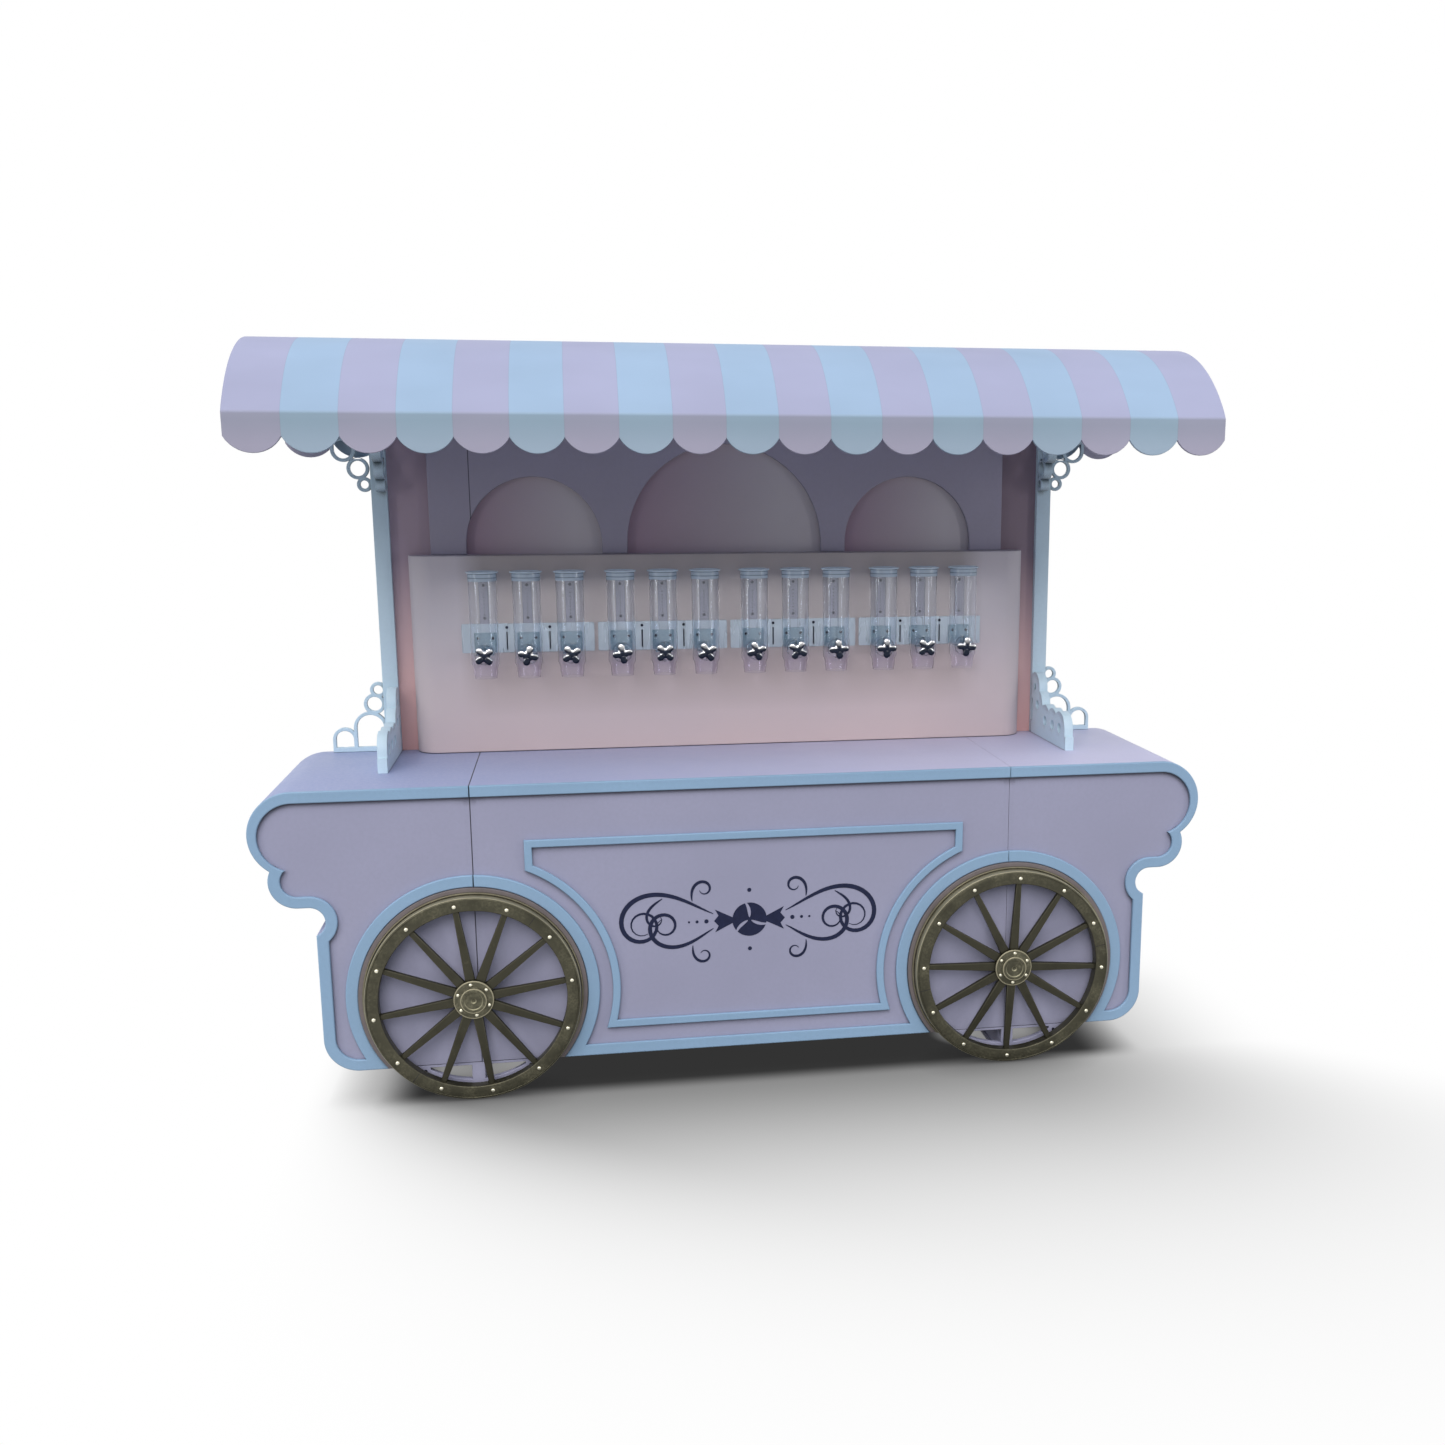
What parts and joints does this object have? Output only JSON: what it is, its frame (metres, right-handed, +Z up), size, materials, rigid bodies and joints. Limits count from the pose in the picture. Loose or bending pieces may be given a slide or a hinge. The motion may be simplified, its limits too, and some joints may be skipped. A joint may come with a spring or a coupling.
{
  "type": "candy buffet cart",
  "caption": "Buffet cart with a lobed front, spoked wheels, an arched back wall with gravity sweet dispensers and a striped barrel canopy with scalloped edges.",
  "frame": {"origin": "middle of the box round the cart, on the floor", "axes": "+X along the counter to the right of someone facing the cart, +Y to the back, +Z up"},
  "size_m": [2.7162, 0.8004, 2.097],
  "materials": {
    "pink_panel": "satin pink paint on board",
    "blue_trim": "satin light blue paint on board",
    "pale_blue_post": "satin very pale blue paint",
    "canopy_stripes": "matt pink and light blue stripes painted on bent ply",
    "antique_bronze": "metallic antique bronze paint on turned and cut board",
    "axle_steel": "plain turned steel",
    "clear_plastic": "clear polished plastic",
    "frosted_plastic": "translucent bluish plastic",
    "lid_plastic": "milky translucent plastic",
    "chrome_knob": "bright chrome",
    "navy_ornament": "thin dark navy film",
    "dark_screw": "blackened steel screws",
    "pale_bolt": "pale plated dome nuts"
  },
  "bodies": {
    "cart": {"cabinet_left": "pink_panel", "cabinet_centre": "pink_panel", "cabinet_right": "pink_panel", "fascia_left": "pink_panel", "fascia_centre": "pink_panel", "fascia_right": "pink_panel", "outline_trim": "blue_trim", "centre_frame": "blue_trim", "skid_left": "pink_panel", "skid_right": "pink_panel", "stub_axle_left": "axle_steel", "stub_axle_right": "axle_steel", "back_wall": "pink_panel", "arch_panel": "pink_panel", "dispenser_box": "pink_panel", "post_left": "pale_blue_post", "post_right": "pale_blue_post", "canopy": "canopy_stripes", "canister_01": "clear_plastic", "canister_02": "clear_plastic", "canister_03": "clear_plastic", "canister_04": "clear_plastic", "canister_05": "clear_plastic", "canister_06": "clear_plastic", "canister_07": "clear_plastic", "canister_08": "clear_plastic", "canister_09": "clear_plastic", "canister_10": "clear_plastic", "canister_11": "clear_plastic", "canister_12": "clear_plastic", "group_plate_1": "frosted_plastic", "group_plate_2": "frosted_plastic", "group_plate_3": "frosted_plastic", "group_plate_4": "frosted_plastic"},
    "wheel_left": {"wheel_left": "antique_bronze"},
    "wheel_right": {"wheel_right": "antique_bronze"},
    "lid_01": {"lid_01": "lid_plastic"},
    "lid_02": {"lid_02": "lid_plastic"},
    "lid_03": {"lid_03": "lid_plastic"},
    "lid_04": {"lid_04": "lid_plastic"},
    "lid_05": {"lid_05": "lid_plastic"},
    "lid_06": {"lid_06": "lid_plastic"},
    "lid_07": {"lid_07": "lid_plastic"},
    "lid_08": {"lid_08": "lid_plastic"},
    "lid_09": {"lid_09": "lid_plastic"},
    "lid_10": {"lid_10": "lid_plastic"},
    "lid_11": {"lid_11": "lid_plastic"},
    "lid_12": {"lid_12": "lid_plastic"},
    "knob_rotor_01": {"knob_rotor_01": "chrome_knob"},
    "knob_rotor_02": {"knob_rotor_02": "chrome_knob"},
    "knob_rotor_03": {"knob_rotor_03": "chrome_knob"},
    "knob_rotor_04": {"knob_rotor_04": "chrome_knob"},
    "knob_rotor_05": {"knob_rotor_05": "chrome_knob"},
    "knob_rotor_06": {"knob_rotor_06": "chrome_knob"},
    "knob_rotor_07": {"knob_rotor_07": "chrome_knob"},
    "knob_rotor_08": {"knob_rotor_08": "chrome_knob"},
    "knob_rotor_09": {"knob_rotor_09": "chrome_knob"},
    "knob_rotor_10": {"knob_rotor_10": "chrome_knob"},
    "knob_rotor_11": {"knob_rotor_11": "chrome_knob"},
    "knob_rotor_12": {"knob_rotor_12": "chrome_knob"}
  },
  "joints": [
    {"name": "wheel_left_spin", "type": "hinge", "parent": "cart", "child": "wheel_left", "pos_m": [-0.782, -0.21015, 0.298], "axis": [0, 1, 0], "continuous": true},
    {"name": "wheel_right_spin", "type": "hinge", "parent": "cart", "child": "wheel_right", "pos_m": [0.782, -0.21015, 0.298], "axis": [0, 1, 0], "continuous": true},
    {"name": "lid_01_lift", "type": "slide", "parent": "cart", "child": "lid_01", "axis": [0, 0, 1], "range_m": [0, 0.12]},
    {"name": "lid_02_lift", "type": "slide", "parent": "cart", "child": "lid_02", "axis": [0, 0, 1], "range_m": [0, 0.12]},
    {"name": "lid_03_lift", "type": "slide", "parent": "cart", "child": "lid_03", "axis": [0, 0, 1], "range_m": [0, 0.12]},
    {"name": "lid_04_lift", "type": "slide", "parent": "cart", "child": "lid_04", "axis": [0, 0, 1], "range_m": [0, 0.12]},
    {"name": "lid_05_lift", "type": "slide", "parent": "cart", "child": "lid_05", "axis": [0, 0, 1], "range_m": [0, 0.12]},
    {"name": "lid_06_lift", "type": "slide", "parent": "cart", "child": "lid_06", "axis": [0, 0, 1], "range_m": [0, 0.12]},
    {"name": "lid_07_lift", "type": "slide", "parent": "cart", "child": "lid_07", "axis": [0, 0, 1], "range_m": [0, 0.12]},
    {"name": "lid_08_lift", "type": "slide", "parent": "cart", "child": "lid_08", "axis": [0, 0, 1], "range_m": [0, 0.12]},
    {"name": "lid_09_lift", "type": "slide", "parent": "cart", "child": "lid_09", "axis": [0, 0, 1], "range_m": [0, 0.12]},
    {"name": "lid_10_lift", "type": "slide", "parent": "cart", "child": "lid_10", "axis": [0, 0, 1], "range_m": [0, 0.12]},
    {"name": "lid_11_lift", "type": "slide", "parent": "cart", "child": "lid_11", "axis": [0, 0, 1], "range_m": [0, 0.12]},
    {"name": "lid_12_lift", "type": "slide", "parent": "cart", "child": "lid_12", "axis": [0, 0, 1], "range_m": [0, 0.12]},
    {"name": "knob_01_turn", "type": "hinge", "parent": "cart", "child": "knob_rotor_01", "pos_m": [-0.7385, 0.23785, 1.209], "axis": [0, 1, 0], "continuous": true},
    {"name": "knob_02_turn", "type": "hinge", "parent": "cart", "child": "knob_rotor_02", "pos_m": [-0.6105, 0.23785, 1.209], "axis": [0, 1, 0], "continuous": true},
    {"name": "knob_03_turn", "type": "hinge", "parent": "cart", "child": "knob_rotor_03", "pos_m": [-0.4825, 0.23785, 1.209], "axis": [0, 1, 0], "continuous": true},
    {"name": "knob_04_turn", "type": "hinge", "parent": "cart", "child": "knob_rotor_04", "pos_m": [-0.3315, 0.23785, 1.209], "axis": [0, 1, 0], "continuous": true},
    {"name": "knob_05_turn", "type": "hinge", "parent": "cart", "child": "knob_rotor_05", "pos_m": [-0.2035, 0.23785, 1.209], "axis": [0, 1, 0], "continuous": true},
    {"name": "knob_06_turn", "type": "hinge", "parent": "cart", "child": "knob_rotor_06", "pos_m": [-0.0755, 0.23785, 1.209], "axis": [0, 1, 0], "continuous": true},
    {"name": "knob_07_turn", "type": "hinge", "parent": "cart", "child": "knob_rotor_07", "pos_m": [0.0755, 0.23785, 1.209], "axis": [0, 1, 0], "continuous": true},
    {"name": "knob_08_turn", "type": "hinge", "parent": "cart", "child": "knob_rotor_08", "pos_m": [0.2035, 0.23785, 1.209], "axis": [0, 1, 0], "continuous": true},
    {"name": "knob_09_turn", "type": "hinge", "parent": "cart", "child": "knob_rotor_09", "pos_m": [0.3315, 0.23785, 1.209], "axis": [0, 1, 0], "continuous": true},
    {"name": "knob_10_turn", "type": "hinge", "parent": "cart", "child": "knob_rotor_10", "pos_m": [0.4825, 0.23785, 1.209], "axis": [0, 1, 0], "continuous": true},
    {"name": "knob_11_turn", "type": "hinge", "parent": "cart", "child": "knob_rotor_11", "pos_m": [0.6105, 0.23785, 1.209], "axis": [0, 1, 0], "continuous": true},
    {"name": "knob_12_turn", "type": "hinge", "parent": "cart", "child": "knob_rotor_12", "pos_m": [0.7385, 0.23785, 1.209], "axis": [0, 1, 0], "continuous": true}
  ]
}
